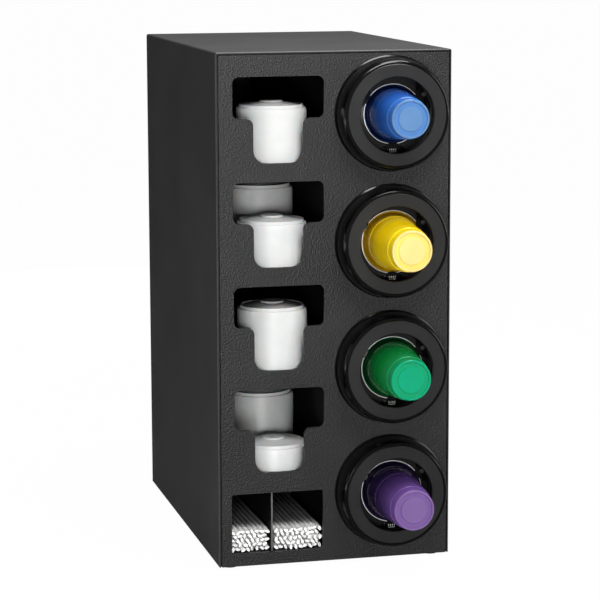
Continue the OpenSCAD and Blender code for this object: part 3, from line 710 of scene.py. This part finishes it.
def pileStraws(setup, side, node, name):
    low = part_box(node)[0]
    rise = setup["step"] * math.sin(math.radians(setup["rowAngle"]))
    rng = random.Random(setup[side]["seed"])
    model = makeStraw(setup)
    copies = []
    for row in range(setup["rows"]):
        for j in range(setup[side]["count"] - row % 2):
            x = low.x + setup["lift"] + (j + row % 2 / 2) * setup["step"]
            z = low.z + setup["lift"] + row * rise
            y = panelInside + setup["stray"] + rng.uniform(-setup["stray"], setup["stray"])
            turn = (0, rng.uniform(0, math.pi), 0)
            copies.append(copyOf(model, (x, y, z), turn))
    removePiece(model)
    pile = joinAll(copies, name)
    smoothByAngle(pile, setup["smooth"])
    dress(pile, "strawPaperShadedDeep", "cabinet")
    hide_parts(node)


pileStraws(strawSetup, "left", "straws_left", "wrappedStrawsLeft")
pileStraws(strawSetup, "right", "straws_right", "wrappedStrawsRight")
print("straws done")

# floor with a curved backdrop

stageSetup = {"near": -9.0, "far": 9.6, "half": 12.0, "rise": 12.0, "cove": 4.0,
              "coveSteps": 16, "slack": 0.01, "smooth": 60, "cloud": 2.5, "rough": 0.9, "gloss": 0.0,
              "dark": (0.9, 0.9, 0.9), "light": (0.92, 0.92, 0.92),
              "seen": 0.985, "mirrorLeft": 0.025, "mirrorRight": 0.2, "mirrorSpan": (-0.5, 0.5)}


def makeStage(setup):
    startPiece()
    depth = setup["far"] - setup["near"]
    bpy.ops.mesh.primitive_plane_add(size=1, location=(0, setup["near"] + depth / 2, 0))
    floor = bpy.context.object
    floor.scale = (2 * setup["half"], depth, 1)
    applyPlace(floor)
    edgeY, slack = setup["far"] - setup["slack"], setup["slack"]
    pickEdges(floor, lambda a, b: min(a.y, b.y) > edgeY)
    bpy.ops.mesh.extrude_region_move(TRANSFORM_OT_translate={"value": (0, 0, setup["rise"])})
    pickEdges(floor, lambda a, b: min(a.y, b.y) > edgeY and max(a.z, b.z) < slack)
    bpy.ops.mesh.bevel(offset=setup["cove"], segments=setup["coveSteps"], affect="EDGES")
    bpy.ops.mesh.select_all(action="SELECT")
    bpy.ops.mesh.normals_make_consistent(inside=False)
    bpy.ops.object.mode_set(mode="OBJECT")
    floor.name = "studioFloor"
    smoothByAngle(floor, setup["smooth"])
    material, tree, shader, place = newTree("paleFloor")
    cloud = noise(tree, place, setup["cloud"])
    colour = mixColours(tree, spread(tree, cloud, 0, 1), setup["dark"], setup["light"])
    link(tree, colour, shader.inputs["Base Color"])
    shader.inputs["Roughness"].default_value = setup["rough"]
    shader.inputs["Specular IOR Level"].default_value = setup["gloss"]
    glow = tree.nodes.new("ShaderNodeEmission")
    share, strength = backgroundGlow(tree, place, setup)
    link(tree, strength, glow.inputs["Strength"])
    mix = tree.nodes.new("ShaderNodeMixShader")
    link(tree, share, mix.inputs[0])
    link(tree, shader.outputs[0], mix.inputs[1])
    link(tree, glow.outputs[0], mix.inputs[2])
    link(tree, mix.outputs[0], tree.nodes["Material Output"].inputs["Surface"])
    floor.data.materials.append(material)


def seenRays(tree):
    path = tree.nodes.new("ShaderNodeLightPath").outputs
    return sums(tree, "MAXIMUM", path["Is Camera Ray"], path["Is Transmission Ray"]), path


def backgroundGlow(tree, place, setup):
    seen, path = seenRays(tree)
    mirrored = path["Is Glossy Ray"]
    share = sums(tree, "MAXIMUM", sums(tree, "MULTIPLY", seen, setup["seen"]), mirrored)
    level = spread(tree, axisOf(tree, place, "X"), setup["mirrorLeft"], setup["mirrorRight"],
                   setup["mirrorSpan"])
    strength = sums(tree, "MAXIMUM", seen, sums(tree, "MULTIPLY", mirrored, level))
    return share, strength


makeStage(stageSetup)

# light

lamps = {
    "keyLamp": {"watts": 13, "place": (0.1, -0.95, 1.35), "aim": (0, -0.15, 0.5), "size": (0.5, 0.5)},
    "fillLamp": {"watts": 46, "place": (-0.6, -3.2, 0.3), "aim": (0, 0, 0.3), "size": (1.2, 0.6)},
    "rightLamp": {"watts": 14, "place": (2.2, -1.4, 1.0), "aim": (0.1, -0.2, 0.3), "size": (0.8, 1.4)},
    "topLamp": {"watts": 34, "place": (0.4, -0.1, 2.4), "aim": (0, 0.0, 0.6), "size": (1.2, 1.0)},
    "leftLamp": {"watts": 3.5, "place": (-1.8, 0.1, 0.15), "aim": (-0.15, 0.05, 0.15),
                 "size": (1.2, 0.25)},
    "backLamp": {"watts": 9, "place": (0, 2.4, 0.32), "aim": (0, 0.2, 0.32), "size": (0.28, 0.5)},
}
worldLevel = 0.12


def addLamp(name, setup):
    startPiece()
    bpy.ops.object.light_add(type="AREA", location=setup["place"])
    lamp = bpy.context.object
    lamp.name = name
    lamp.data.shape = "RECTANGLE"
    lamp.data.size, lamp.data.size_y = setup["size"]
    lamp.data.energy = setup["watts"]
    way = Vector(setup["aim"]) - Vector(setup["place"])
    lamp.rotation_euler = way.to_track_quat("-Z", "Y").to_euler()


for name, setup in lamps.items():
    addLamp(name, setup)
world = bpy.data.worlds.new("studioWorld")
bpy.context.scene.world = world
world.use_nodes = True
tree = world.node_tree
seen, path = seenRays(tree)  # white where the camera sees past the floor
background = tree.nodes["Background"]
background.inputs["Color"].default_value = (1, 1, 1, 1)
link(tree, sums(tree, "MAXIMUM", seen, worldLevel), background.inputs["Strength"])
bpy.context.scene.view_settings.view_transform = "Standard"
print("stage and light done")

# leave object mode and update the scene

startPiece()
bpy.context.view_layer.update()
